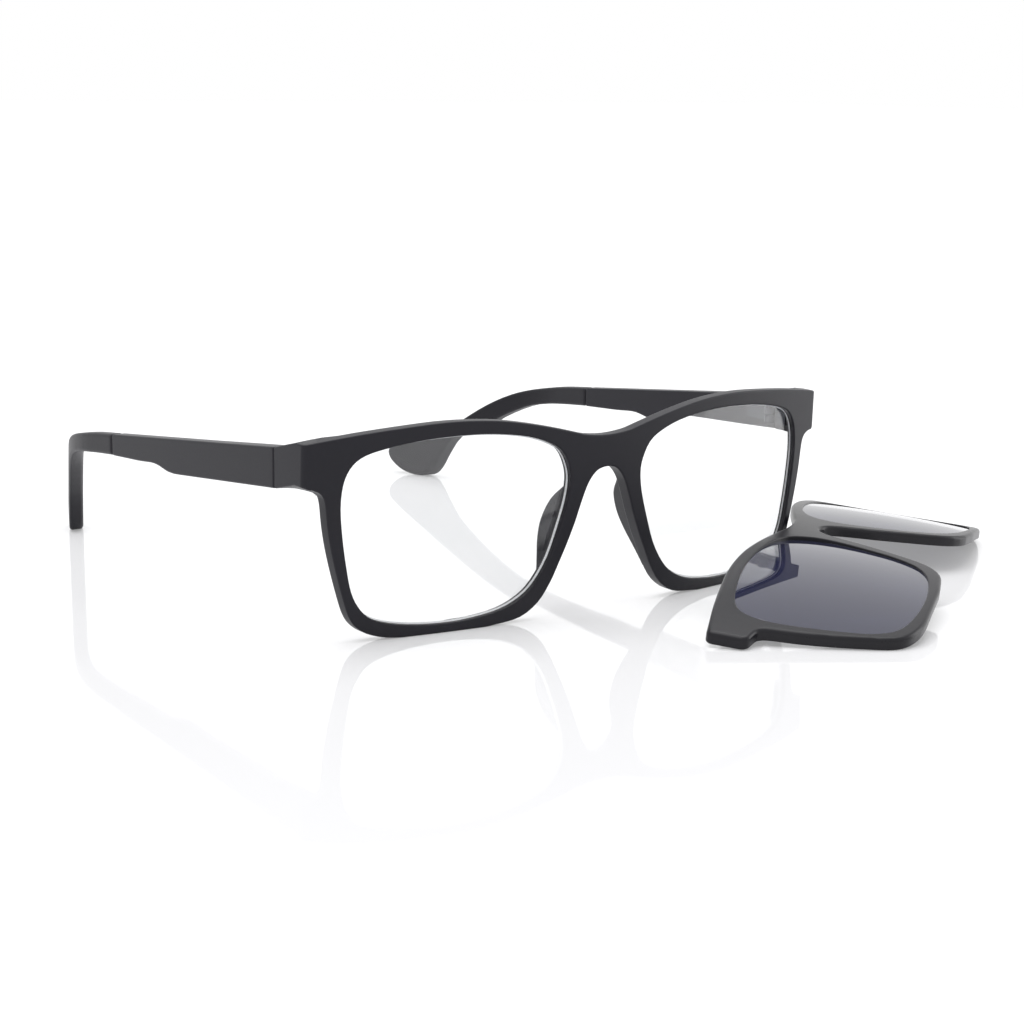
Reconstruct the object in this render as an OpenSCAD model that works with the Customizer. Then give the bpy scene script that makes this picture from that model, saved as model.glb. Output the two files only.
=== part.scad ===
/* [Lenses] */
// Width of each lens, edge to edge
lens_w = 53; // [46:1:58]
// Height of each lens, edge to edge
lens_h = 39.3; // [34:0.1:44]
// Gap between the two lenses at the bridge
bridge_w = 18; // [15:1:22]
// Thickness of each clear lens
lens_t = 1.6; // [1.2:0.1:1.8]
// How deep the rims hold the edge of a lens
groove = 0.5; // [0.3:0.05:0.7]
// How far the face of a lens lies behind the face of its rim
lens_recess = 1.0; // [0.7:0.1:1.2]

/* [Front] */
// Radius to which the front is curved, seen from above
front_r = 275; // [200:5:400]
// Thickness of the front
front_t = 3.2; // [3.1:0.1:4]
// Height of the rim above the lens opening
rim_top = 2.9; // [2.4:0.1:4]
// Height of the rim below the lens opening
rim_low = 2; // [1.7:0.1:3]
// Width of the rim at the outer side of the lens opening
rim_side = 2; // [1.7:0.1:3]
// Distance from the lens opening to the outer side of the endpiece
endpiece_out = 7.7; // [7:0.1:10]
// Height of the endpiece
endpiece_h = 8.4; // [8:0.1:10]
// How far the top of the endpiece lies below the top of the rims
end_drop = 3; // [2:0.1:4]
// How far the top of the bridge lies below the top of the rims
bridge_dip = 5.4; // [4:0.1:7]
// Height of the bridge at its middle
bridge_h = 6.8; // [5:0.1:9]
// Lean of the front, top forward
front_lean = 2.1; // [0:0.1:6]
// How much of the rims is cut flat where they stand
foot_cut = 0.2; // [0.1:0.05:0.4]

/* [Nose pads] */
// How far the nose pads reach back from the face of the front
pad_reach = 8.6; // [7:0.1:11]
// Length of the nose pads
pad_h = 26; // [22:0.5:27]
// Thickness of the nose pads
pad_t = 2.1; // [1.8:0.1:2.6]
// Angle by which the nose pads spread outward
pad_flare = 6; // [2:1:14]

/* [Temples] */
// Distance from the face of the bridge back to the hinge line
hinge_y = 18.35; // [17.5:0.05:20]
// Thickness of the temple at the hinge
temple_t = 4; // [3.8:0.1:4.6]
// Thickness of the temple and its tip further back
tip_t = 3.4; // [3:0.1:3.6]
// Height of the temple at the hinge
temple_h = 8.3; // [7.5:0.1:10]
// Height of the temple at the seam of its tip
neck_h = 4.7; // [4.4:0.1:6]
// Drop of the temple for each millimetre towards the back
temple_drop = 0.101; // [0.09:0.001:0.11]
// Distance from the hinge line to the seam of the tip
seam_run = 67.5; // [62:0.5:72]
// Distance from the seam to the place where the tip turns inward
curl_run = 11.6; // [8:0.1:14]
// Radius to which the tip turns inward, seen from above
curl_r = 40; // [30:1:60]
// Angle by which the tip turns inward, seen from above
curl_a = 25.5; // [15:0.5:30]
// Distance along the temple from the hinge line to the lowest point of the tip
tip_run = 120; // [112:0.5:126]
// Radius of the steel core that joins the temple to its tip
core_r = 0.6; // [0.5:0.05:0.8]
// Length of the steel core
core_l = 39; // [24:1:40]

/* [Hinges] */
// Radius of the hinge knuckles
knuckle_r = 1.3; // [1.2:0.05:1.4]
// Height of the hinge, all three knuckles together
hinge_h = 5.4; // [4.8:0.1:5.8]
// Radius of the hinge screw
screw_r = 0.6; // [0.5:0.05:0.7]
// Thickness of the hinge leaves
leaf_t = 1; // [0.8:0.1:1.1]
// Length of the leaf in the front
front_leaf = 4.6; // [4:0.1:4.8]
// Length of the leaf in the temple
temple_leaf = 7.5; // [6:0.1:9]

/* [Clip] */
// Thickness of the clip
clip_t = 2.4; // [2.2:0.1:3]
// How far the clip stands out past the endpieces on each side
clip_over = 0.8; // [0:0.1:1.5]
// Thickness of each dark lens
tint_t = 0.9; // [0.7:0.1:1]
// How far the face of a dark lens lies behind the face of the clip
tint_recess = 0.6; // [0.4:0.1:0.8]
// Radius of the disc magnets
magnet_r = 1.5; // [1:0.1:1.8]
// Thickness of the disc magnets
magnet_t = 1; // [0.8:0.1:1.2]
// How far the middle of the clip's upper edge lies inside the outer side of the endpiece
clip_in = 16; // [-10:0.1:16]
// How far the middle of the clip's upper edge lies behind the face of the bridge
clip_back = 5.4; // [-40:0.1:5.5]
// Turn of the clip on the table
clip_turn = 34.3; // [25:0.1:45]

/* [Hidden] */

frame_black = "#27262b";
tip_black = "#2b2a30";
steel = "#b9bbc0";
magnet_grey = "#8f9196";
lens_clear = [0.93, 0.95, 0.96, 0.3];
lens_dark = [0.2, 0.21, 0.24, 0.9];

// Clearance round a piece that is held in another
snug = 0.05;
// Clearance of the turning knuckle on its screw
run_gap = 0.03;
// Clearance of the screw and the pins in the pieces that hold them
pin_gap = 0.02;
// Gap between the clip and the table
rest_gap = 0.02;
// Gap between the knuckles, and at the two seams of a temple
seam_gap = 0.1;
// Overlap of pieces that are cut or joined
over = 1;
// Straight pieces between two points of a curved outline
steps = 3;
// Segments of the round holes and pins
$fn = 48;

// Lens opening of the rims
open_w = lens_w - 2 * groove;
open_h = lens_h - 2 * groove;
open_x = bridge_w / 2 + groove;
open_z = rim_low;
side_x = open_x + open_w;
top_z = open_z + open_h + rim_top;
half_w = side_x + endpiece_out;
end_top = top_z - end_drop;
end_low = end_top - endpiece_h;
nose_z = top_z - bridge_dip - bridge_h;
// Middle of the lens opening
eye_x = open_x + open_w / 2;
eye_z = open_z + open_h / 2;

// Shape of the lens, as shares of its width and height, from the outer side over the top
EYE = [[1, 0.66], [0.992, 0.78], [0.968, 0.86], [0.925, 0.915], [0.85, 0.95], [0.7, 0.985],
    [0.52, 1], [0.36, 0.994], [0.21, 0.965], [0.105, 0.918], [0.045, 0.865], [0.01, 0.78],
    [0, 0.7], [0.012, 0.59], [0.045, 0.45], [0.09, 0.29], [0.15, 0.165], [0.215, 0.09],
    [0.31, 0.036], [0.44, 0.008], [0.57, 0], [0.71, 0.012], [0.82, 0.04], [0.885, 0.08],
    [0.925, 0.14], [0.953, 0.22], [0.972, 0.34], [0.99, 0.5]];

// Outer edge of the rim below the endpiece: shares of the opening's width outward from the rim's
// side, and of the endpiece's height above the table
CHEEK = [[0.055, 0.972], [0.032, 0.94], [0.021, 0.88], [0.0125, 0.755], [0, 0.629], [-0.017, 0.503],
    [-0.037, 0.377], [-0.062, 0.236], [-0.078, 0.165], [-0.1, 0.108], [-0.135, 0.062], [-0.18, 0.031],
    [-0.231, 0.011], [-0.288, 0.002], [-0.346, 0], [-0.46, 0]];
// The one of these points that a lying clip stands on
FOOT = CHEEK[8];

// Inner edge of the rim, from the foot up round the nose: shares outward of the opening's width,
// and inward of its distance from the middle, and shares of the height below the bridge
NOSE = [[0.519, 0], [0.423, 0], [0.333, 0.012], [0.221, 0.04], [0.137, 0.127], [0.081, 0.253],
    [0.046, 0.367], [0.008, 0.497], [-0.158, 0.64], [-0.263, 0.73], [-0.379, 0.825], [-0.484, 0.896],
    [-0.61, 0.95], [-0.768, 0.987], [-1, 1], [-1.232, 0.987]];

// Point of a smooth curve through four points, between the second and the third
function between(a, b, c, d, t) =
    0.5 * (2 * b + (c - a) * t + (2 * a - 5 * b + 4 * c - d) * t * t + (3 * b - a - 3 * c + d) * t * t * t);

// Smooth closed curve through all the points
function loop_curve(pts, n = steps) = let(k = len(pts))
    [for (i = [0:k - 1], j = [0:n - 1])
        between(pts[(i + k - 1) % k], pts[i], pts[(i + 1) % k], pts[(i + 2) % k], j / n)];

// Smooth open curve that runs from the second point to the last but one
function open_curve(pts, n = steps) = concat(
    [for (i = [1:len(pts) - 3], j = [0:n - 1])
        between(pts[i - 1], pts[i], pts[i + 1], pts[i + 2], j / n)],
    [pts[len(pts) - 2]]);

// Outline of a lens, or of the hole for it, that reaches e past the lens opening
function eye_curve(e = 0) = loop_curve([for (p = EYE)
    [eye_x + (p[0] - 0.5) * (open_w + 2 * e), eye_z + (p[1] - 0.5) * (open_h + 2 * e)]]);

// Upper edge of the front, from its middle to the endpiece
function brow(e = 0) = let(dip = bridge_dip, low = top_z - dip, drop = end_drop, x0 = open_x, w = open_w)
    open_curve([[-0.55 * x0, low + 0.074 * dip], [0, low], [0.55 * x0, low + 0.074 * dip],
        [0.91 * x0, low + 0.222 * dip], [x0 + 0.077 * w, low + 0.444 * dip],
        [x0 + 0.204 * w, low + 0.704 * dip], [x0 + 0.337 * w, low + 0.907 * dip],
        [x0 + 0.471 * w, top_z], [x0 + 0.606 * w, top_z], [x0 + 0.773 * w, top_z - 0.2 * drop],
        [x0 + 0.931 * w, top_z - 0.467 * drop], [half_w - drop, top_z - 0.833 * drop],
        [half_w + e, end_top], [half_w + drop, end_top - 0.167 * drop]]);

// Outer edge of the rim, from below the endpiece round to the foot
function cheek(e = 0) = let(x1 = side_x + rim_side)
    open_curve(concat([[half_w + e + 0.33 * end_drop, 1.013 * end_low], [half_w + e, end_low]],
        [for (p = CHEEK) [x1 + p[0] * open_w, p[1] * end_low]]));

// Inner edge of the rim, from the foot up round the nose
function nose() = open_curve([for (p = NOSE)
    [open_x + p[0] * (p[0] > 0 ? open_w : open_x), p[1] * nose_z]]);

// Whole outline of the front; e widens it at the endpieces
function front_curve(e = 0) = let(half = concat(brow(e), cheek(e), nose()), k = len(half))
    concat(half, [for (i = [k - 2:-1:1]) [-half[i][0], half[i][1]]]);

// Where the face of the front lies, by its distance from the middle
function sag(x) = front_r - sqrt(front_r * front_r - x * x);

// Flat outline pulled along Y from y0 to y1
module along_y(pts, y0, y1)
    translate([0, y1, 0]) rotate([90, 0, 0]) linear_extrude(y1 - y0) polygon(pts);

// Flat outline of Y and Z pulled along X from x0 to x1
module along_x(pts, x0, x1)
    translate([x0, 0, 0]) rotate([90, 0, 90]) linear_extrude(x1 - x0) polygon(pts);

// Curved wall between two depths behind the face of the front
module curved(d0, d1) translate([0, front_r, -over]) difference() {
    cylinder(r = front_r - d0, h = top_z + 2 * over, $fn = 360);
    translate([0, 0, -over]) cylinder(r = front_r - d1, h = top_z + 4 * over, $fn = 360);
}

// Outline pulled through the curved wall between two depths
module shaped(pts, d0, d1) intersection() {
    along_y(pts, d0 - over, sag(half_w) + d1 + over);
    curved(d0, d1);
}

// Both of a pair: as drawn at +X, and mirrored
module pair() {
    children();
    mirror([1, 0, 0]) children();
}

// From the upright front to the front as it stands, leaning
module leaning() rotate([front_lean, 0, 0]) translate([0, 0, -foot_cut]) children();

// Distance of the magnets from the outer side of the endpieces, and their middle
magnet_in = 3.4;
magnet_x = half_w - magnet_in;
magnet_z = end_top - endpiece_h / 2;

// A disc square to the curved face, its outer face at depth d behind it
module disc(d, r, t) translate([0, front_r, magnet_z]) rotate([0, 0, asin(magnet_x / front_r)])
    translate([0, -front_r + d, 0]) rotate([-90, 0, 0]) cylinder(r = r, h = t);

// Front
arm_x = half_w - temple_t;
// Fall of the upper edge from the front to the hinge
arm_fall = 1.65;
arm_top = end_top - arm_fall;
hinge_x = arm_x - knuckle_r - seam_gap;
hinge_z = arm_top - temple_h / 2 + 0.2;
// Distance between a leaf and the end of the flat that it lies on, and from the hinge line
leaf_room = 0.2;
leaf_end = 0.3;
// Radius of the inner corner between the endpiece and the front
corner_r = 4;
// Depth to which the endpiece and the nose pads are sunk into the front
sunk = 0.2;
// Plastic that covers a magnet of the front
skin = 0.6;

// Inner corner of the endpiece, from the leaf's flat round to the back of the front
function arm_corner() = let(x = arm_x - corner_r, y0 = hinge_y - leaf_end - front_leaf - leaf_room,
        y1 = sag(x) + front_t - sunk)
    [for (t = [0:15:90]) [x + corner_r * cos(t), y0 + (y1 - y0) * sin(t)]];

// Endpiece, from the front back to the hinge
module arm() let(y0 = sag(half_w), l = hinge_y - y0, low = arm_top - temple_h, fall = end_low - low)
    intersection() {
        linear_extrude(top_z) polygon(concat([[half_w, y0 + 2 * sunk], [half_w, hinge_y - seam_gap / 2],
            [arm_x, hinge_y - seam_gap / 2]], arm_corner()));
        along_x([[y0 - 0.3 * l, end_top], [y0 - 0.07 * l, end_top - 0.06 * arm_fall], [hinge_y, arm_top],
            [hinge_y, low], [y0 + 0.226 * l, end_low - 0.58 * fall],
            [y0 - 0.026 * l, end_low - 0.065 * fall], [y0 - 0.3 * l, end_low + 0.13 * fall]],
            arm_x - 2 * corner_r, half_w);
    }

// Ear-shaped nose pad along the inner edge of the rim, behind the lens groove
pad_x = 0.516 * open_x;
pad_z = 0.96 * nose_z;
pad_lean = 22;
pad_root = front_t - 0.75 * sunk;
PAD = [[-0.1, 0.04], [0.02, 0], [0.16, -0.07], [0.38, -0.142], [0.72, -0.231], [0.91, -0.312],
    [1, -0.423], [0.965, -0.527], [0.79, -0.642], [0.54, -0.754], [0.34, -0.846], [0.16, -0.942],
    [0.03, -1], [-0.05, -1.04]];
module pad() translate([pad_x, pad_root, pad_z]) rotate([0, -pad_lean, 0]) rotate([0, 0, -pad_flare])
    along_x(concat([[0, -0.98 * pad_h], [0, -0.02 * pad_h]],
        [for (p = open_curve(PAD)) [p[0] * (pad_reach - pad_root), p[1] * pad_h]]), 0, pad_t);

module front_frame() color(frame_black) difference() {
    union() {
        leaning() difference() {
            shaped(front_curve(), 0, front_t);
            pair() along_y(eye_curve(), -over, sag(half_w) + front_t + over);
        }
        pair() arm();
        leaning() pair() pad();
    }
    pair() leaning() shaped(eye_curve(groove + snug), lens_recess - snug, lens_recess + lens_t + snug);
    pair() leaning() disc(skin - snug, magnet_r + snug, magnet_t + 2 * snug);
    pair() pins(front_pin, pin_gap);
    translate([-half_w, -half_w, -half_w]) cube([2 * half_w, 2 * half_w, half_w]);
}

module lens() color(lens_clear) leaning()
    shaped(eye_curve(groove), lens_recess, lens_recess + lens_t);
module lens_left() lens();
module lens_right() mirror([1, 0, 0]) lens();

module front_magnet() color(magnet_grey) leaning() disc(skin, magnet_r, magnet_t);
module front_magnet_left() front_magnet();
module front_magnet_right() mirror([1, 0, 0]) front_magnet();

// Hinges
leaf_x = arm_x - leaf_t;
knuckle_h = (hinge_h - 2 * seam_gap) / 3;
hinge_low = hinge_z - hinge_h / 2;
hinge_top = hinge_low + hinge_h;
low_cut = hinge_low + knuckle_h;
top_cut = hinge_top - knuckle_h;
// Pins of the leaves: size, height above and below the middle, and places along the temple
pin_r = 0.55;
pin_l = 1.8;
pin_rise = 0.24 * hinge_h;
front_pin = hinge_y - front_leaf / 2;
temple_pin = hinge_y + temple_leaf / 2 + leaf_end;
// Head and slot of the screw, and how far its end stays inside the lowest knuckle
head_r = 1;
head_h = 0.5;
slot_w = 0.3;
slot_t = head_h / 2;
screw_end = 0.3;

// The two pins of a leaf, which sit in holes of the plastic
module pins(y, gap = 0) for (s = [-1, 1]) translate([leaf_x + leaf_t / 2, y, hinge_z + s * pin_rise])
    rotate([0, 90, 0]) cylinder(r = pin_r + gap, h = leaf_t / 2 + pin_l + gap);

// Round block about the hinge line, between two heights
module round_hinge(r, z0, z1) translate([hinge_x, hinge_y, z0]) cylinder(r = r, h = z1 - z0);

module front_hinge() color(steel) difference() {
    union() {
        translate([leaf_x, hinge_y - leaf_end - front_leaf, hinge_low]) cube([leaf_t, front_leaf, hinge_h]);
        round_hinge(knuckle_r, hinge_low, hinge_top);
        pins(front_pin);
    }
    round_hinge(knuckle_r + seam_gap, low_cut, top_cut);
    round_hinge(screw_r + pin_gap, hinge_low - over, hinge_top + over);
}
module front_hinge_left() front_hinge();
module front_hinge_right() mirror([1, 0, 0]) front_hinge();

module temple_hinge() color(steel) difference() {
    union() {
        difference() {
            translate([leaf_x, hinge_y + leaf_end, hinge_low]) cube([leaf_t, temple_leaf, hinge_h]);
            round_hinge(knuckle_r + seam_gap, hinge_low - over, low_cut + seam_gap);
            round_hinge(knuckle_r + seam_gap, top_cut - seam_gap, hinge_top + over);
        }
        round_hinge(knuckle_r, low_cut + seam_gap, top_cut - seam_gap);
        pins(temple_pin);
    }
    round_hinge(screw_r + run_gap, hinge_low - over, hinge_top + over);
}
module temple_hinge_left() temple_hinge();
module temple_hinge_right() mirror([1, 0, 0]) temple_hinge();

module hinge_screw() color(steel) difference() {
    union() {
        round_hinge(screw_r, hinge_low + screw_end, hinge_top + head_h - slot_t);
        round_hinge(head_r, hinge_top, hinge_top + head_h);
    }
    translate([hinge_x - slot_w / 2, hinge_y - 2 * head_r, hinge_top + head_h - slot_t])
        cube([slot_w, 4 * head_r, head_h]);
}
module hinge_screw_left() hinge_screw();
module hinge_screw_right() mirror([1, 0, 0]) hinge_screw();

// Temples
seam_y = hinge_y + seam_run;
curl_y = seam_y + curl_run;
curl_x = half_w - curl_r;
curl_l = curl_r * curl_a * PI / 180;
seam_top = arm_top - temple_drop * seam_run;
neck_low = seam_top - neck_h;
// Where the temple begins and ends to grow thinner behind its hinge leaf
thin_from = hinge_y + leaf_end + temple_leaf + leaf_room;
thin_to = hinge_y + 0.4 * seam_run;

// Lower edge of the temple, with its step: shares of the way from the hinge line to the seam, and
// of the temple's height down from its upper edge
LOWER = [[0.296, 1.187], [0.563, 1.373], [0.61, 1.388], [0.64, 1.376], [0.67, 1.331], [0.7, 1.289],
    [0.741, 1.275], [0.83, 1.328]];

// Edges of the bent tip: shares of the way from the seam to its lowest point, and of the height of
// the seam's upper end for the upper edge, of its lower end for the lower edge
TIP_TOP = [[-0.152, 1.025], [0.086, 0.987], [0.219, 0.962], [0.402, 0.909], [0.533, 0.846],
    [0.663, 0.745], [0.806, 0.596], [0.975, 0.397], [1.095, 0.255], [1.145, 0.173], [1.139, 0.098],
    [1.097, 0.035], [1.046, 0.006]];
TIP_LOW = [[1, 0.002], [0.962, 0.022], [0.93, 0.096], [0.899, 0.207], [0.844, 0.366], [0.73, 0.567],
    [0.6, 0.748], [0.44, 0.889], [0.324, 0.939], [0.229, 0.963], [0.076, 0.989], [-0.152, 1.015]];

// How far back a point lies that is the distance s along the temple from the hinge line
function back(s) = let(t = s - seam_run - curl_run)
    t <= 0 ? hinge_y + s
    : t <= curl_l ? curl_y + curl_r * sin(t / curl_r * 180 / PI)
    : curl_y + curl_r * sin(curl_a) + (t - curl_l) * cos(curl_a);

// Side of the temple: straight upper edge, lower edge with a step towards the narrow neck
module temple_side() let(y0 = hinge_y + seam_gap / 2, y1 = seam_y - seam_gap / 2) along_x(concat(
    [[y1, seam_top], [y0, arm_top], [y0, arm_top - temple_h]],
    open_curve(concat([for (p = LOWER) [hinge_y + p[0] * seam_run, arm_top - p[1] * temple_h]],
        [[y1, neck_low], [y1 + 0.12 * seam_run, neck_low - 0.1 * neck_h]]))), arm_x - over, half_w + over);

// Steel core, straight through the seam: two thirds of it in the temple, the rest in the tip
core_x = half_w - tip_t / 2;
core_slope = 5;
module core(gap = 0) translate([core_x, seam_y, (seam_top + neck_low) / 2]) rotate([-90 - core_slope, 0, 0])
    translate([0, 0, -core_l * 2 / 3 - gap]) cylinder(r = core_r + gap, h = core_l + 2 * gap);

module temple() color(frame_black) difference() {
    intersection() {
        temple_side();
        linear_extrude(top_z) polygon([[half_w, 0], [half_w, seam_y + over], [half_w - tip_t, seam_y + over],
            [half_w - tip_t, thin_to], [arm_x, thin_from], [arm_x, 0]]);
    }
    pins(temple_pin, pin_gap);
    core(pin_gap);
}
module temple_left() temple();
module temple_right() mirror([1, 0, 0]) temple();

// Side of the bent tip: distance along the temple from the hinge line, and height
function tip_edge() = let(s0 = seam_run + seam_gap / 2, run = tip_run - seam_run)
    concat([[s0, neck_low], [s0, seam_top]], open_curve(concat(
        [for (p = TIP_TOP) [seam_run + p[0] * run, p[1] * seam_top]],
        [for (p = TIP_LOW) [seam_run + p[0] * run, p[1] * neck_low]])));

// Wall that the tip is cut from: straight at the seam, then turned inward
module bent_wall() translate([0, 0, -over]) {
    translate([half_w - tip_t, seam_y - over, 0]) cube([tip_t, curl_run + over, top_z]);
    translate([curl_x, curl_y, 0]) {
        intersection() {
            difference() {
                cylinder(r = curl_r, h = top_z, $fn = 360);
                translate([0, 0, -over]) cylinder(r = curl_r - tip_t, h = top_z + 2 * over, $fn = 360);
            }
            linear_extrude(top_z)
                polygon([[0, 0], [2 * curl_r, 0], 2 * curl_r * [cos(curl_a), sin(curl_a)]]);
        }
        rotate([0, 0, curl_a]) translate([curl_r - tip_t, 0, 0]) cube([tip_t, tip_run, top_z]);
    }
}

module temple_tip() color(tip_black) difference() {
    intersection() {
        along_x([for (p = tip_edge()) [back(p[0]), p[1]]], curl_x, half_w + over);
        bent_wall();
    }
    core(pin_gap);
}
module temple_tip_left() temple_tip();
module temple_tip_right() mirror([1, 0, 0]) temple_tip();

module core_wire() color(steel) core();
module core_wire_left() core_wire();
module core_wire_right() mirror([1, 0, 0]) core_wire();

// Clip: it lies on the corners of its endpieces and on the outer ends of its rims
foot_x = side_x + rim_side + FOOT[0] * open_w;
foot_z = FOOT[1] * end_low;
end_x = half_w + clip_over;
clip_tip = atan((sag(end_x) - sag(foot_x)) / (end_low - foot_z));
clip_up = sag(end_x) * cos(clip_tip) + (top_z - end_low) * sin(clip_tip) + rest_gap;

// From the clip as worn on the upright front to the clip as it lies on the table, face up
module lying() translate([half_w - clip_in, clip_back, clip_up]) rotate([0, 0, clip_turn])
    rotate([clip_tip - 90, 0, 0]) translate([0, 0, -top_z]) children();

module clip_frame() color(frame_black) lying() difference() {
    shaped(front_curve(clip_over), -clip_t, 0);
    pair() along_y(eye_curve(), -clip_t - over, sag(half_w) + over);
    pair() shaped(eye_curve(groove + snug), tint_recess - clip_t - snug,
        tint_recess - clip_t + tint_t + snug);
    pair() disc(-magnet_t - snug, magnet_r + snug, magnet_t + over);
}

module clip_lens() shaped(eye_curve(groove), tint_recess - clip_t, tint_recess - clip_t + tint_t);
module clip_lens_left() color(lens_dark) lying() clip_lens();
module clip_lens_right() color(lens_dark) lying() mirror([1, 0, 0]) clip_lens();

module clip_magnet() color(magnet_grey) disc(-magnet_t - snug, magnet_r, magnet_t);
module clip_magnet_left() lying() clip_magnet();
module clip_magnet_right() lying() mirror([1, 0, 0]) clip_magnet();

front_frame();
lens_left();
lens_right();
front_magnet_left();
front_magnet_right();
front_hinge_left();
front_hinge_right();
hinge_screw_left();
hinge_screw_right();
temple_hinge_left();
temple_hinge_right();
temple_left();
temple_right();
temple_tip_left();
temple_tip_right();
core_wire_left();
core_wire_right();
clip_frame();
clip_lens_left();
clip_lens_right();
clip_magnet_left();
clip_magnet_right();
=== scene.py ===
from math import atan, atan2, cos, hypot, radians, sin, sqrt

import bmesh
import bpy
from mathutils import Matrix, Vector


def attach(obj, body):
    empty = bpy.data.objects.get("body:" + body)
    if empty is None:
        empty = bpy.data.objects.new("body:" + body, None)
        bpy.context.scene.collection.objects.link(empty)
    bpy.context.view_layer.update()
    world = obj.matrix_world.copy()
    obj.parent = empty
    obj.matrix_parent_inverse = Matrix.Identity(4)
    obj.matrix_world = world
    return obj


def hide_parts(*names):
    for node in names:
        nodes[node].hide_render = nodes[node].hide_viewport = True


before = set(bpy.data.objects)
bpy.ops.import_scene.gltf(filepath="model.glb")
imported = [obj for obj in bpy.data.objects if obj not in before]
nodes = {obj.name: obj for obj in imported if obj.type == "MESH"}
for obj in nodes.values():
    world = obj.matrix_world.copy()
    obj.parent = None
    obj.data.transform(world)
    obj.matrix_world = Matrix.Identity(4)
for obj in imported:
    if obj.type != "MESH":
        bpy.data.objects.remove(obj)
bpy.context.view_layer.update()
scene = bpy.context.scene


# Front: one matte black injection moulding of nylon, with both rims, the bridge and the
# endpieces. It is curved round the face, leans a little and stands on the flats under its rims.
# The mould rounds its edges, most of all behind the rims and at the corners of the endpieces.
FRONT_R = 0.275
FRONT_T = 0.0032
FRONT_LEAN = radians(2.1)
FOOT_CUT = 0.0002
RIM_MIDDLE = (0.0355, 0.02115)
ARM_T = 0.004
ARM_H = 0.0083
ARM_TOP = 0.03855
HINGE_Y = 0.01835
SEAM_GAP = 0.0001
EDGE_R = 0.00035
CORNER_EDGE_R = 0.0011
BACK_EDGE_R = 0.0009
BACK_EDGE_RUNOUT = 0.0025
INNER_CORNER_R = 0.0022
STRIP = 0.0025
GRAIN = 0.00035
GRAIN_DEPTH = 0.00002
CLOUD = 0.016
TOUCHING = 0.000001
IN_PLANE = 0.00001
EVEN_SHADING = 80


def linear(code):
    """The linear colour of an sRGB hex code."""
    values = [int(code[i:i + 2], 16) / 255 for i in (0, 2, 4)]
    return [v / 12.92 if v <= 0.04045 else ((v + 0.055) / 1.055) ** 2.4 for v in values] + [1.0]


def add(tree, kind, settings=None, **inputs):
    """A node with its settings; each input is a value, or the socket that feeds it."""
    node = tree.nodes.new("ShaderNode" + kind)
    for key, value in (settings or {}).items():
        setattr(node, key, value)
    for key, value in inputs.items():
        socket = node.inputs[int(key[1:])] if key[1:].isdigit() else node.inputs[key.replace("_", " ")]
        if isinstance(value, bpy.types.NodeSocket):
            tree.links.new(value, socket)
        else:
            socket.default_value = value
    return node


def material(name):
    """A new material, its node tree, and the place of each point of the piece that wears it."""
    made = bpy.data.materials.new(name)
    made.use_nodes = True
    made.node_tree.nodes.clear()
    return made, made.node_tree, add(made.node_tree, "TexCoord").outputs["Object"]


def surface(tree, shader):
    """Gives a material its finished shader."""
    tree.links.new(shader.outputs[0], tree.nodes.new("ShaderNodeOutputMaterial").inputs["Surface"])


def moulded(name, low, high, smooth, rough):
    """Black nylon from an etched mould: a fine grain, soft clouds of tone, and gloss between two levels."""
    made, tree, spot = material(name)
    grain = add(tree, "TexNoise", Vector=spot, Scale=1 / GRAIN, Detail=2.0, Roughness=0.55)
    cloud = add(tree, "TexNoise", Vector=spot, Scale=1 / CLOUD, Detail=3.0)
    tone = add(tree, "ValToRGB", Fac=cloud.outputs["Fac"])
    tone.color_ramp.elements[0].color = linear(low)
    tone.color_ramp.elements[1].color = linear(high)
    both = add(tree, "Math", {"operation": "MULTIPLY_ADD"}, i0=cloud.outputs["Fac"], i1=0.5,
               i2=grain.outputs["Fac"])
    gloss = add(tree, "MapRange", Value=both.outputs["Value"], i1=0.4, i2=1.1, i3=smooth, i4=rough)
    bump = add(tree, "Bump", Strength=0.22, Distance=GRAIN_DEPTH, Height=grain.outputs["Fac"])
    surface(tree, add(tree, "BsdfPrincipled", Base_Color=tone.outputs["Color"], IOR=1.5,
                      Specular_IOR_Level=0.28, Roughness=gloss.outputs["Result"],
                      Normal=bump.outputs["Normal"]))
    return made


def flat(place, p):
    """A point of a curved plate that stands at place, laid flat: Y is its depth behind the face."""
    q = place.inverted() @ p
    return Vector((q.x, FRONT_R - hypot(q.x, FRONT_R - q.y), q.z))


def bent(place, p):
    """The flat point p, back on the curved plate that stands at place."""
    return place @ Vector((p.x, FRONT_R - sqrt((FRONT_R - p.y) ** 2 - p.x ** 2), p.z))


def copy_of(node):
    """The mesh of a CAD node, with its loose triangles merged."""
    shape = bmesh.new()
    shape.from_mesh(nodes[node].data)
    bmesh.ops.remove_doubles(shape, verts=shape.verts, dist=TOUCHING * 2)
    return shape


def join_facets(shape, angle):
    """Makes one face of the facets that turn by less than the angle in degrees."""
    bmesh.ops.dissolve_limit(shape, angle_limit=radians(angle), verts=shape.verts, edges=shape.edges)


def outline(node, lay, depth):
    """The face of a CAD node at one depth, laid flat, ready to be thickened."""
    shape = copy_of(node)
    for vert in shape.verts:
        vert.co = lay(vert.co)
    away = [f for f in shape.faces if any(abs(vert.co.y - depth) > IN_PLANE for vert in f.verts)]
    bmesh.ops.delete(shape, geom=away, context="FACES")
    for vert in shape.verts:
        vert.co.y = depth
    join_facets(shape, 0.3)
    return shape


def thicken(shape, depth):
    """Closes a flat face to a plate that reaches to the depth."""
    made = bmesh.ops.extrude_face_region(shape, geom=list(shape.faces), use_keep_orig=True)["geom"]
    for vert in made:
        if isinstance(vert, bmesh.types.BMVert):
            vert.co.y = depth
    bmesh.ops.recalc_face_normals(shape, faces=shape.faces)


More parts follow.
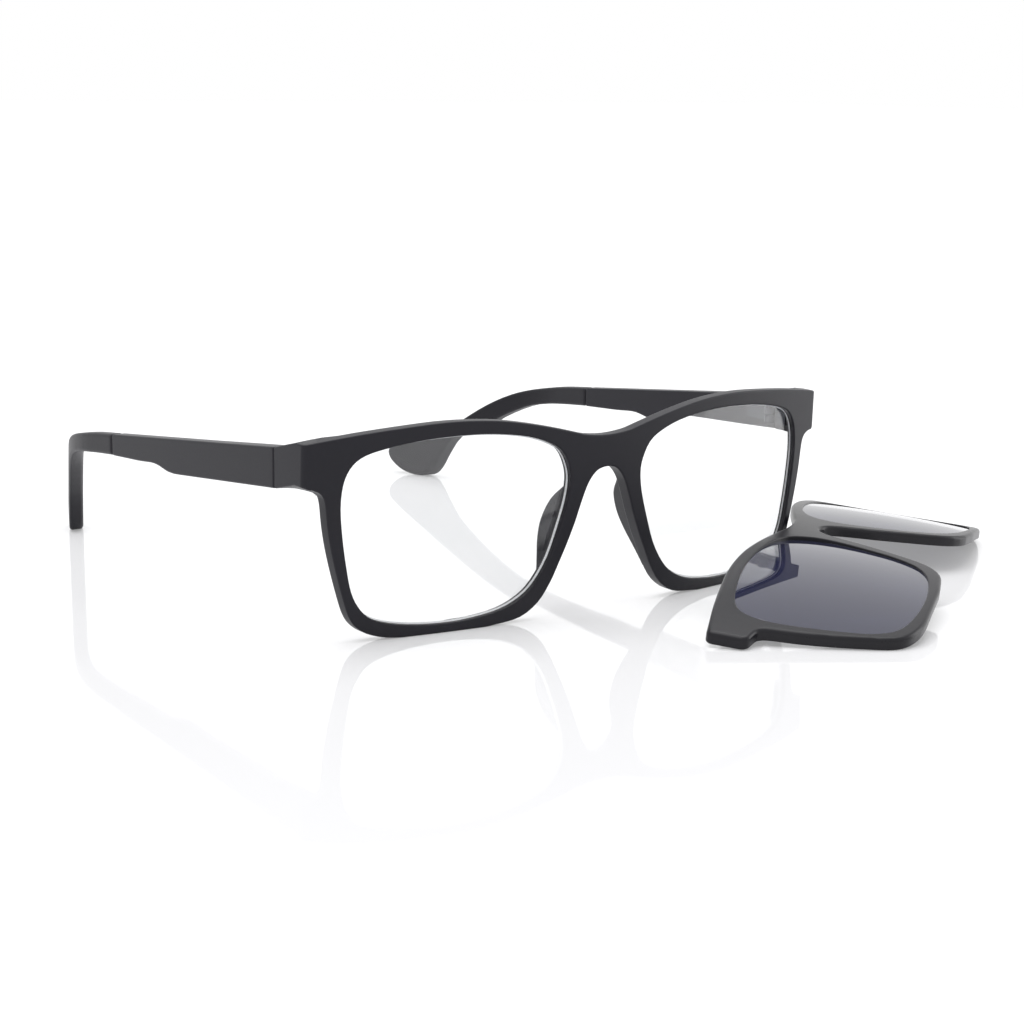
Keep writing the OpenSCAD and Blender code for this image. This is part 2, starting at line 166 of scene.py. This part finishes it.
def sharp(shape, angle=35.0):
    """The edges of a mesh that turn by more than the angle in degrees."""
    return [e for e in shape.edges if e.is_manifold and e.calc_face_angle(0.0) > radians(angle)]


def round_edges(shape, edges, width, segments):
    """Rounds edges to a radius."""
    bmesh.ops.bevel(shape, geom=edges, offset=width, segments=segments, profile=0.5, affect="EDGES",
                    material=-1)


def slice_at(shape, point, across, drop_before=False):
    """Cuts a mesh by the plane through a point; drop_before takes away what lies before the plane."""
    bmesh.ops.bisect_plane(shape, geom=shape.verts[:] + shape.edges[:] + shape.faces[:],
                           dist=TOUCHING / 10, plane_co=point, plane_no=across, clear_inner=drop_before)


def cut(shape, across, strip):
    """Cuts a flat plate in strips of a width, across a direction."""
    ends = [vert.co.dot(across) for vert in shape.verts]
    for i in range(int(min(ends) / strip) - 1, int(max(ends) / strip) + 2):
        slice_at(shape, i * strip * across, across)


ALONG_X = Vector((1.0, 0.0, 0.0))


def bend_strips(shape, bend):
    """Cuts a flat plate in narrow strips and bends it."""
    cut(shape, ALONG_X, STRIP)
    for vert in shape.verts:
        vert.co = bend(vert.co)


def piece(name, shape, body, slot, finish, *stands_for):
    """The finished object of a mesh: smooth, in its materials and on its body; the slot is not used."""
    bmesh.ops.recalc_face_normals(shape, faces=shape.faces)
    mesh = bpy.data.meshes.new(name)
    shape.to_mesh(mesh)
    shape.free()
    mesh.polygons.foreach_set("use_smooth", [True] * len(mesh.polygons))
    for one in finish:
        mesh.materials.append(one)
    made = bpy.data.objects.new(name, mesh)
    scene.collection.objects.link(made)
    shading = made.modifiers.new("even_shading", "WEIGHTED_NORMAL")
    shading.weight = EVEN_SHADING
    shading.keep_sharp = True
    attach(made, body)
    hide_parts(*stands_for)


# Matte black nylon: a broad soft sheen, broken up by the grain of the etched mould, drawn coarser
# than the real one, and faint clouds of tone where the melt flowed.
matte = moulded("matte_black_nylon", "16151C", "1C1B24", 0.34, 0.43)

stand = Matrix.Rotation(FRONT_LEAN, 4, "X") @ Matrix.Translation((0.0, 0.0, -FOOT_CUT))
shape = outline("front_frame", lambda p: flat(stand, p), 0.0)
thicken(shape, FRONT_T)

# The endpieces are drawn out of the back of the front, as far as the temples.
half_w = max(vert.co.x for vert in shape.verts)
arm_x = half_w - ARM_T
for side in (-1, 1):
    slice_at(shape, side * arm_x * ALONG_X, ALONG_X)
for side in (-1, 1):
    root = [f for f in shape.faces if f.normal.y > 0.9 and side * f.calc_center_median().x > arm_x]
    arm = bmesh.ops.extrude_face_region(shape, geom=root)["geom"]
    bmesh.ops.delete(shape, geom=root, context="FACES_ONLY")
    ends = [vert for vert in arm if isinstance(vert, bmesh.types.BMVert)]
    middle = (max(vert.co.z for vert in ends) + min(vert.co.z for vert in ends)) / 2
    for vert in ends:
        height = ARM_TOP if vert.co.z > middle else ARM_TOP - ARM_H
        vert.co = flat(stand, Vector((vert.co.x, HINGE_Y - SEAM_GAP / 2, height)))
bmesh.ops.remove_doubles(shape, verts=shape.verts, dist=TOUCHING)
join_facets(shape, 0.3)
hollows = [e for e in sharp(shape)
           if not e.is_convex and all(abs(abs(v.co.x) - arm_x) < IN_PLANE for v in e.verts)]
round_edges(shape, hollows, INNER_CORNER_R, 6)
corners = [e for e in sharp(shape)
           if all(abs(abs(v.co.x) - half_w) < IN_PLANE and abs(v.co.y) < IN_PLANE for v in e.verts)]
round_edges(shape, corners, CORNER_EDGE_R, 5)


def is_back_edge(edge):
    """Whether an edge runs round the back of the front, along its top or down its outer sides."""
    place = (edge.verts[0].co + edge.verts[1].co) / 2
    wall = min(edge.link_faces, key=lambda face: abs(face.normal.y)).normal
    outward = Vector((abs(place.x) - RIM_MIDDLE[0], 0.0, place.z - RIM_MIDDLE[1]))
    outward.x *= 1 if place.x > 0 else -1
    behind = all(abs(vert.co.y - FRONT_T) < IN_PLANE for vert in edge.verts)
    on_top = wall.z > 0.5 and outward.z > 0
    outside = wall.dot(outward) > 0 and abs(place.x) > RIM_MIDDLE[0]
    return behind and (on_top or outside)


# The wide rounding at the back ends under the middle of each rim, and the fine one leaves that
# stretch alone.
round_edges(shape, [e for e in sharp(shape) if is_back_edge(e)], BACK_EDGE_R, 4)
runout = {v for v in shape.verts if abs(abs(v.co.x) - RIM_MIDDLE[0]) < BACK_EDGE_RUNOUT
          and v.co.y > FRONT_T / 2 and v.co.z < RIM_MIDDLE[1]}
round_edges(shape, [e for e in sharp(shape) if not runout.issuperset(e.verts)], EDGE_R, 3)
bend_strips(shape, lambda p: bent(stand, p))
piece("front_moulding", shape, "front", "frame_plastic", [matte], "front_frame")


# Nose pads: two ear-shaped blades that stand out behind the inner edges of the rims, in one
# moulding with the front, with their edges rounded all the way.
PAD_EDGE_R = 0.0008
PAD_ROOT = 0.0034
PAD_SINK = 0.0018
PAD_MAX_X = 0.03

shape = copy_of("front_frame")
for vert in shape.verts:
    vert.co = flat(stand, vert.co)
away = [f for f in shape.faces if abs(f.calc_center_median().x) > PAD_MAX_X]
bmesh.ops.delete(shape, geom=away, context="FACES")
slice_at(shape, Vector((0.0, PAD_ROOT, 0.0)), Vector((0.0, 1.0, 0.0)), drop_before=True)

# The root of each pad is sunk in the front, and closed there.
root = [e for e in shape.edges
        if e.is_boundary and all(abs(v.co.y - PAD_ROOT) < TOUCHING for v in e.verts)]
for vert in bmesh.ops.extrude_edge_only(shape, edges=root)["geom"]:
    if isinstance(vert, bmesh.types.BMVert):
        vert.co.y -= PAD_SINK
bmesh.ops.holes_fill(shape, edges=[e for e in shape.edges if e.is_boundary], sides=0)
join_facets(shape, 0.5)
round_edges(shape, sharp(shape), PAD_EDGE_R, 4)
for vert in shape.verts:
    vert.co = bent(stand, vert.co)
piece("nose_pads", shape, "front", "frame_plastic", [matte], "front_frame")


# Clear lenses: cast resin, polished to a weak reading power, thicker in the middle, and sprung into
# the groove of the rims. The facet that is ground round the front of each lens shows as a thin bright
# line just inside the rim: it is frosted, and its colour is painted an opaque near-white as a painted
# highlight.
LENS_T = 0.0016
LENS_RECESS = 0.001
LENS_BULGE = (0.0008, 0.0006)
FACET_W = 0.0008
FACET_T = 0.0005
FACET_TURN = 15.0
LENS_R = 0.0275
LENS_STRIP = 0.00175
LENS_MERGE = 0.00004
SWIRL = 0.012
GRIT = 0.0003
GRIT_DEPTH = 0.00003
ALONG_Z = Vector((0.0, 0.0, 1.0))


def lens(node, lay, bend, recess, thickness, bulge, facet_w, facet_t):
    """A lens on its curved plate: a facet ground round its face, and a bulge of its front and its back."""
    shape = outline(node, lay, recess)
    thicken(shape, recess + thickness)
    face = [f for f in shape.faces if all(abs(v.co.y - recess) < TOUCHING for v in f.verts)]
    brim = {vert for f in face for vert in f.verts}
    facet = bmesh.ops.inset_region(shape, faces=face, thickness=facet_w, use_even_offset=True)["faces"]
    for vert in brim:
        vert.co.y += facet_t
    for one in facet:
        one.material_index = 1
    xs = [vert.co.x for vert in shape.verts]
    zs = [vert.co.z for vert in shape.verts]
    middle_x = (min(xs) + max(xs)) / 2
    middle_z = (min(zs) + max(zs)) / 2
    cut(shape, ALONG_X, LENS_STRIP)
    cut(shape, ALONG_Z, LENS_STRIP)
    bmesh.ops.remove_doubles(shape, verts=shape.verts, dist=LENS_MERGE)
    shape.normal_update()
    for edge in sharp(shape, FACET_TURN):
        edge.smooth = False
    for vert in shape.verts:
        share = (vert.co.y - recess) / thickness
        r = hypot(vert.co.x - middle_x, vert.co.z - middle_z)
        vert.co.y += (bulge[1] * share - bulge[0] * (1 - share)) * (1 - (r / LENS_R) ** 2)
    for vert in shape.verts:
        vert.co = bend(vert.co)
    return shape


# Polished resin: clear as water, with the faintest swirl from the casting.
clear, tree, spot = material("polished_clear_resin")
swirl = add(tree, "TexNoise", Vector=spot, Scale=1 / SWIRL, Detail=1.0)
tone = add(tree, "ValToRGB", Fac=swirl.outputs["Fac"])
tone.color_ramp.elements[0].color = linear("F9FBFB")
tone.color_ramp.elements[1].color = linear("FEFEFE")
surface(tree, add(tree, "BsdfPrincipled", Base_Color=tone.outputs["Color"], Roughness=0.0, IOR=1.5,
                  Transmission_Weight=1.0))

# The ground facet: a frosted hairline with wheel marks drawn coarser than the real ones. Its opaque
# near-white colour is a painted highlight for the bright line that the light gives it.
ground, tree, spot = material("ground_resin_painted_bright")
grit = add(tree, "TexNoise", Vector=spot, Scale=1 / GRIT, Detail=2.0)
bump = add(tree, "Bump", Strength=0.3, Distance=GRIT_DEPTH, Height=grit.outputs["Fac"])
gloss = add(tree, "MapRange", Value=grit.outputs["Fac"], i3=0.12, i4=0.35)
surface(tree, add(tree, "BsdfPrincipled", Base_Color=linear("F6F8FA"), Roughness=gloss.outputs["Result"],
                  IOR=1.5, Normal=bump.outputs["Normal"]))

for node in ("lens_left", "lens_right"):
    shape = lens(node, lambda p: flat(stand, p), lambda p: bent(stand, p), LENS_RECESS, LENS_T, LENS_BULGE,
                 FACET_W, FACET_T)
    piece(node + "_cut", shape, "front", "clear_lens", [clear, ground], node)


# Temples and their bent tips: matte black nylon, moulded on a steel core. The side of each is
# drawn flat, given its thickness, rounded at the edges and turned inward behind the ear.
TIP_T = 0.0034
THIN_FROM = 0.02635
THIN_TO = 0.04535
CURL_Y = 0.09745
CURL_R = 0.04
CURL_A = radians(25.5)
TEMPLE_EDGE_R = 0.0005
TIP_EDGE_R = 0.0009


def unrolled(side, p):
    """A point of a temple with the curl laid straight: X along it, Y under its outer face."""
    x, y = side * p.x - half_w + CURL_R, p.y - CURL_Y
    if y <= 0:
        depth = CURL_R - x
    elif atan2(y, x) <= CURL_A:
        depth = CURL_R - hypot(x, y)
    else:
        depth = CURL_R - cos(CURL_A) * x - sin(CURL_A) * y
    return Vector((p.y, depth, p.z))


def rolled(side, p):
    """The straight point p at its place on the temple, which grows thinner and turns inward."""
    y = p.x - CURL_Y
    thinner = min(max((p.x - THIN_FROM) / (THIN_TO - THIN_FROM), 0.0), 1.0) * (1 - TIP_T / ARM_T)
    r = CURL_R - p.y * (1 - thinner)
    if y <= 0:
        x = r
    elif y <= r * sin(CURL_A):
        x = sqrt(r * r - y * y)
    else:
        x = (r - y * sin(CURL_A)) / cos(CURL_A)
    return Vector((side * (x + half_w - CURL_R), p.x, p.z))


# Nylon of the tips: the same grain, a shade lighter and duller.
tip_black = moulded("soft_matte_tip_nylon", "19181E", "201F26", 0.36, 0.45)

for side, name in ((1, "left"), (-1, "right")):
    for part, finish, slot, width in (("temple_", matte, "frame_plastic", TEMPLE_EDGE_R),
                                      ("temple_tip_", tip_black, "tip_plastic", TIP_EDGE_R)):
        shape = outline(part + name, lambda p: unrolled(side, p), 0.0)
        thicken(shape, ARM_T)
        round_edges(shape, sharp(shape), width, 4)
        bend_strips(shape, lambda p: rolled(side, p))
        piece(part + name + "_moulding", shape, "temple_" + name, slot, [finish], part + name)


# Hinges: leaves and knuckles stamped from nickel silver and plated dark, pinned to the plastic,
# with a turned steel screw through the knuckles.
PRESS_LINE = 0.0002
PRESS_DEPTH = 0.00001
TOOL_MARK = 0.00025


def clad(node, finish):
    """Gives a CAD node its one material."""
    nodes[node].data.materials.clear()
    nodes[node].data.materials.append(finish)


# Plated nickel silver: dark grey metal with fine lines along the leaf from the press, drawn
# coarser than the real ones.
plated, tree, spot = material("dark_plated_nickel_silver")
along = add(tree, "Mapping", Vector=spot, Scale=(1.0, 0.08, 1.0))
lines = add(tree, "TexNoise", Vector=along.outputs["Vector"], Scale=1 / PRESS_LINE, Detail=3.0)
tone = add(tree, "ValToRGB", Fac=lines.outputs["Fac"])
tone.color_ramp.elements[0].color = linear("3C3D42")
tone.color_ramp.elements[1].color = linear("505156")
gloss = add(tree, "MapRange", Value=lines.outputs["Fac"], i3=0.28, i4=0.45)
bump = add(tree, "Bump", Strength=0.15, Distance=PRESS_DEPTH, Height=lines.outputs["Fac"])
surface(tree, add(tree, "BsdfPrincipled", Base_Color=tone.outputs["Color"], Metallic=1.0,
                  Roughness=gloss.outputs["Result"], Normal=bump.outputs["Normal"]))

# Turned steel: a bright screw, its gloss uneven from marks of the tool, drawn coarser than real.
turned, tree, spot = material("turned_stainless_steel")
marks = add(tree, "TexNoise", Vector=spot, Scale=1 / TOOL_MARK, Detail=2.0)
tone = add(tree, "ValToRGB", Fac=marks.outputs["Fac"])
tone.color_ramp.elements[0].color = linear("8E9094")
tone.color_ramp.elements[1].color = linear("B4B6BA")
gloss = add(tree, "MapRange", Value=marks.outputs["Fac"], i3=0.18, i4=0.32)
surface(tree, add(tree, "BsdfPrincipled", Base_Color=tone.outputs["Color"], Metallic=1.0,
                  Roughness=gloss.outputs["Result"]))

for node in nodes:
    if "_hinge_" in node:
        clad(node, plated)
    elif "screw" in node:
        clad(node, turned)


# Core wires: cold-drawn steel, shot into the temples before the tips are pushed on. They show
# only as a glint in the seam.
DRAWN_LINE = 0.0001

# Drawn steel: a sharp glint, with fine lines along the wire, drawn coarser than the real ones.
drawn, tree, spot = material("cold_drawn_steel")
along = add(tree, "Mapping", Vector=spot, Scale=(1.0, 0.05, 1.0))
lines = add(tree, "TexNoise", Vector=along.outputs["Vector"], Scale=1 / DRAWN_LINE, Detail=2.0)
gloss = add(tree, "MapRange", Value=lines.outputs["Fac"], i3=0.2, i4=0.4)
surface(tree, add(tree, "BsdfPrincipled", Base_Color=linear("A9ABAF"), Metallic=1.0,
                  Roughness=gloss.outputs["Result"]))

for node in ("core_wire_left", "core_wire_right"):
    clad(node, drawn)


# Clip frame: a thinner nylon moulding in the outline of the front, with a satin face. It lies on
# the table, face up, on the corners of its endpieces and the outer ends of its rims.
CLIP_T = 0.0024
CLIP_IN = 0.016
CLIP_BACK = 0.0054
CLIP_TURN = radians(34.3)
CLIP_TOP = 0.0432
CLIP_END = (0.07, 0.0318)
CLIP_FOOT = (0.059444, 0.005247)
CLIP_REST = 0.00002
CLIP_EDGE_R = 0.0009
CLIP_FINE_R = 0.00025
CLIP_CORNER_R = 0.0014
CLIP_END_W = 0.002

# Satin nylon: the same black with a tighter and brighter sheen than the front.
satin = moulded("satin_black_nylon", "17161B", "1D1C22", 0.26, 0.34)

# Its curve and its slope bring the corners of the endpieces and the ends of the rims to one level.
sag = {x: FRONT_R - sqrt(FRONT_R ** 2 - x ** 2) for x in (CLIP_END[0], CLIP_FOOT[0])}
slope = atan((sag[CLIP_END[0]] - sag[CLIP_FOOT[0]]) / (CLIP_END[1] - CLIP_FOOT[1]))
up = sag[CLIP_END[0]] * cos(slope) + (CLIP_TOP - CLIP_END[1]) * sin(slope) + CLIP_REST
lying = (Matrix.Translation((half_w - CLIP_IN, CLIP_BACK, up)) @ Matrix.Rotation(CLIP_TURN, 4, "Z")
         @ Matrix.Rotation(slope - radians(90), 4, "X") @ Matrix.Translation((0.0, 0.0, -CLIP_TOP)))
shape = outline("clip_frame", lambda p: flat(lying, p), -CLIP_T)

# The points next to each corner make way for its rounding.
near = [vert for vert in shape.verts if abs(vert.co.x) > CLIP_END[0] - CLIP_CORNER_R * 2]
edges = [edge for edge in shape.edges if edge.verts[0] in near and edge.verts[1] in near]
bmesh.ops.dissolve_limit(shape, angle_limit=radians(4), verts=near, edges=edges)
thicken(shape, 0.0)
corners = [e for e in sharp(shape) if abs(e.verts[0].co.y - e.verts[1].co.y) > CLIP_T / 2]
round_edges(shape, corners, CLIP_CORNER_R, 5)

# The outer contour is what the sharp edges join to the ends. Its face edge has the wide rounding,
# and its back edge and the openings for the lenses have the fine one.
contour = {vert for vert in shape.verts if abs(vert.co.x) > CLIP_END[0] - CLIP_END_W}
more = contour
while more:
    more = {v for e in sharp(shape) if not contour.isdisjoint(e.verts) for v in e.verts} - contour
    contour = contour | more
face = [e for e in sharp(shape) if contour.issuperset(e.verts) and e.verts[0].co.y < -CLIP_T / 2]
round_edges(shape, face, CLIP_EDGE_R, 4)
round_edges(shape, sharp(shape), CLIP_FINE_R, 2)
bend_strips(shape, lambda p: bent(lying, p))
piece("clip_moulding", shape, "clip", "frame_plastic", [satin], "clip_frame")


# Dark lenses of the clip: resin tinted grey all through, with a hard coat that mirrors what is
# round it, sprung into the groove of the clip frame.
TINT_T = 0.0009
TINT_RECESS = 0.0006
TINT_BULGE = (0.0012, -0.0012)
TINT_FACET_W = 0.0005
TINT_FACET_T = 0.0003
TINT_DRIFT = 0.02

# Tinted resin: a deep grey-blue to look through, with clear reflections on its hard coat.
dark, tree, spot = material("tinted_resin_with_hard_coat")
drift = add(tree, "TexNoise", Vector=spot, Scale=1 / TINT_DRIFT, Detail=1.0)
tone = add(tree, "ValToRGB", Fac=drift.outputs["Fac"])
tone.color_ramp.elements[0].color = linear("2F314E")
tone.color_ramp.elements[1].color = linear("363856")
gloss = add(tree, "MapRange", Value=drift.outputs["Fac"], i3=0.01, i4=0.03)
surface(tree, add(tree, "BsdfPrincipled", Base_Color=tone.outputs["Color"], Roughness=gloss.outputs["Result"],
                  IOR=1.6, Transmission_Weight=0.5, Coat_Weight=0.35, Coat_Roughness=0.01))

# Its ground facet: a dull grey hairline round the lens.
dark_ground, tree, spot = material("fine_ground_tinted_resin")
grit = add(tree, "TexNoise", Vector=spot, Scale=1 / GRIT, Detail=2.0)
gloss = add(tree, "MapRange", Value=grit.outputs["Fac"], i3=0.15, i4=0.35)
surface(tree, add(tree, "BsdfPrincipled", Base_Color=linear("3E4048"), Roughness=gloss.outputs["Result"],
                  IOR=1.6))

for node in ("clip_lens_left", "clip_lens_right"):
    shape = lens(node, lambda p: flat(lying, p), lambda p: bent(lying, p), TINT_RECESS - CLIP_T, TINT_T,
                 TINT_BULGE, TINT_FACET_W, TINT_FACET_T)
    piece(node + "_cut", shape, "clip", "dark_lens", [dark, dark_ground], node)


# Magnets: nickel-plated discs. Two are moulded into the endpieces of the front and don't show;
# two are pressed flush into the back of the clip and draw it onto them.
MAGNET_OUT = 0.00009
MAGNET_EDGE_R = 0.00015
MAGNET_FACE = 0.000005
RIPPLE = 0.0004
RIPPLE_DEPTH = 0.00001

# Nickel plating: a warm, pale metal with a faint ripple, drawn coarser than the real one.
nickel, tree, spot = material("nickel_plated_magnet")
ripple = add(tree, "TexNoise", Vector=spot, Scale=1 / RIPPLE, Detail=2.0)
tone = add(tree, "ValToRGB", Fac=ripple.outputs["Fac"])
tone.color_ramp.elements[0].color = linear("A8A7A4")
tone.color_ramp.elements[1].color = linear("C2C1BD")
gloss = add(tree, "MapRange", Value=ripple.outputs["Fac"], i3=0.12, i4=0.26)
bump = add(tree, "Bump", Strength=0.1, Distance=RIPPLE_DEPTH, Height=ripple.outputs["Fac"])
surface(tree, add(tree, "BsdfPrincipled", Base_Color=tone.outputs["Color"], Metallic=1.0,
                  Roughness=gloss.outputs["Result"], Normal=bump.outputs["Normal"]))

for node in ("front_magnet_left", "front_magnet_right"):
    clad(node, nickel)
for node in ("clip_magnet_left", "clip_magnet_right"):
    shape = copy_of(node)
    join_facets(shape, 0.5)
    round_edges(shape, sharp(shape), MAGNET_EDGE_R, 2)
    ends = [f for f in shape.faces if f.calc_area() > MAGNET_FACE]
    down = min(ends, key=lambda f: f.normal.z).normal.copy()
    bmesh.ops.translate(shape, vec=down * MAGNET_OUT, verts=shape.verts)
    piece(node + "_disc", shape, "clip", "magnet", [nickel], node)


# Table: a wide sheet of white acrylic with a soft gloss, so that the rims mirror faintly in it.
# It lies under the glasses and is only their ground.
TABLE = 12.0
TABLE_HAZE = 0.05
TABLE_LIFT = 0.27


def shows_background(tree):
    """1 for a ray by which the eye sees the background: direct, in a mirror or through a lens."""
    ray = add(tree, "LightPath")
    direct = add(tree, "Math", {"operation": "MAXIMUM"}, i0=ray.outputs["Is Camera Ray"],
                 i1=ray.outputs["Is Transmission Ray"])
    any_way = add(tree, "Math", {"operation": "MAXIMUM"}, i0=direct.outputs["Value"],
                  i1=ray.outputs["Is Glossy Ray"])
    return any_way.outputs["Value"]


# White acrylic: a clean white ground with a faint mirror image of what stands on it.
white, tree, spot = material("white_acrylic")
haze = add(tree, "TexNoise", Vector=spot, Scale=1 / TABLE_HAZE, Detail=2.0)
gloss = add(tree, "MapRange", Value=haze.outputs["Fac"], i3=0.03, i4=0.045)
lift = add(tree, "Math", {"operation": "MULTIPLY"}, i0=shows_background(tree), i1=TABLE_LIFT)
surface(tree, add(tree, "BsdfPrincipled", Base_Color=linear("CECED0"), Roughness=gloss.outputs["Result"],
                  IOR=1.45, Emission_Color=linear("FFFFFF"), Emission_Strength=lift.outputs["Value"]))

shape = bmesh.new()
bmesh.ops.create_grid(shape, x_segments=1, y_segments=1, size=TABLE / 2)
sheet = bpy.data.meshes.new("table")
shape.to_mesh(sheet)
shape.free()
sheet.materials.append(white)
table = bpy.data.objects.new("table", sheet)
scene.collection.objects.link(table)


# Light: a white tent round the table, open and darker where the camera stands, with a large
# softbox above and a tall one low at the right.
ROOM = 0.32
ROOM_Y = -0.95
TENT = 1.0
TENT_Y = -0.1

tent = bpy.data.worlds.new("white_tent")
scene.world = tent
tent.use_nodes = True
tree = tent.node_tree
tree.nodes.clear()
side_y = add(tree, "SeparateXYZ", Vector=add(tree, "TexCoord").outputs["Generated"]).outputs["Y"]
glow = add(tree, "MapRange", Value=side_y, i1=ROOM_Y, i2=TENT_Y, i3=ROOM, i4=TENT)
strength = add(tree, "Math", {"operation": "MAXIMUM"}, i0=glow.outputs["Result"],
               i1=shows_background(tree))
sky = add(tree, "Background", Color=linear("FFFFFF"), Strength=strength.outputs["Value"])
tree.links.new(sky.outputs["Background"], tree.nodes.new("ShaderNodeOutputWorld").inputs["Surface"])


def softbox(name, size, power, place, aim):
    """A soft lamp of a size in metres and a power in watts that stands at a place and faces a point."""
    lamp = bpy.data.lights.new(name, "AREA")
    lamp.shape = "RECTANGLE"
    lamp.size, lamp.size_y = size
    lamp.energy = power
    box = bpy.data.objects.new(name, lamp)
    scene.collection.objects.link(box)
    box.matrix_world = (Matrix.Translation(place)
                        @ (Vector(aim) - Vector(place)).to_track_quat("-Z", "Y").to_matrix().to_4x4())


softbox("softbox_above", (1.6, 1.2), 14.0, (0.1, 0.3, 1.4), (0.1, 0.3, 0.0))
softbox("softbox_right", (0.5, 0.7), 2.5, (1.0, -0.4, 0.35), (0.0, 0.0, 0.02))


# Camera: low in front of the glasses and to the wearer's right, turned 38 degrees towards them
# and tipped 11 degrees down.
YAW = 0.661067
PITCH = 0.197576
ROLL = 0.014197
STANDS = (-0.29233, -0.34469, 0.11107)
FOCAL_PIXELS = 2200.0
IMAGE_PIXELS = 1024
SENSOR_W = 36.0
NEAREST = 0.02
FARTHEST = 50.0

forward = Vector((sin(YAW) * cos(PITCH), cos(YAW) * cos(PITCH), -sin(PITCH)))
sideways = Vector((cos(YAW), -sin(YAW), 0.0))
upward = sideways.cross(forward)
right = cos(ROLL) * sideways + sin(ROLL) * upward
top = cos(ROLL) * upward - sin(ROLL) * sideways
camera_data = bpy.data.cameras.new("camera")
camera_data.sensor_width = SENSOR_W
camera_data.lens = FOCAL_PIXELS / IMAGE_PIXELS * SENSOR_W
camera_data.clip_start = NEAREST
camera_data.clip_end = FARTHEST
camera = bpy.data.objects.new("camera", camera_data)
scene.collection.objects.link(camera)
camera.matrix_world = Matrix.Translation(STANDS) @ Matrix((right, top, -forward)).transposed().to_4x4()
scene.camera = camera
scene.view_settings.view_transform = "Standard"
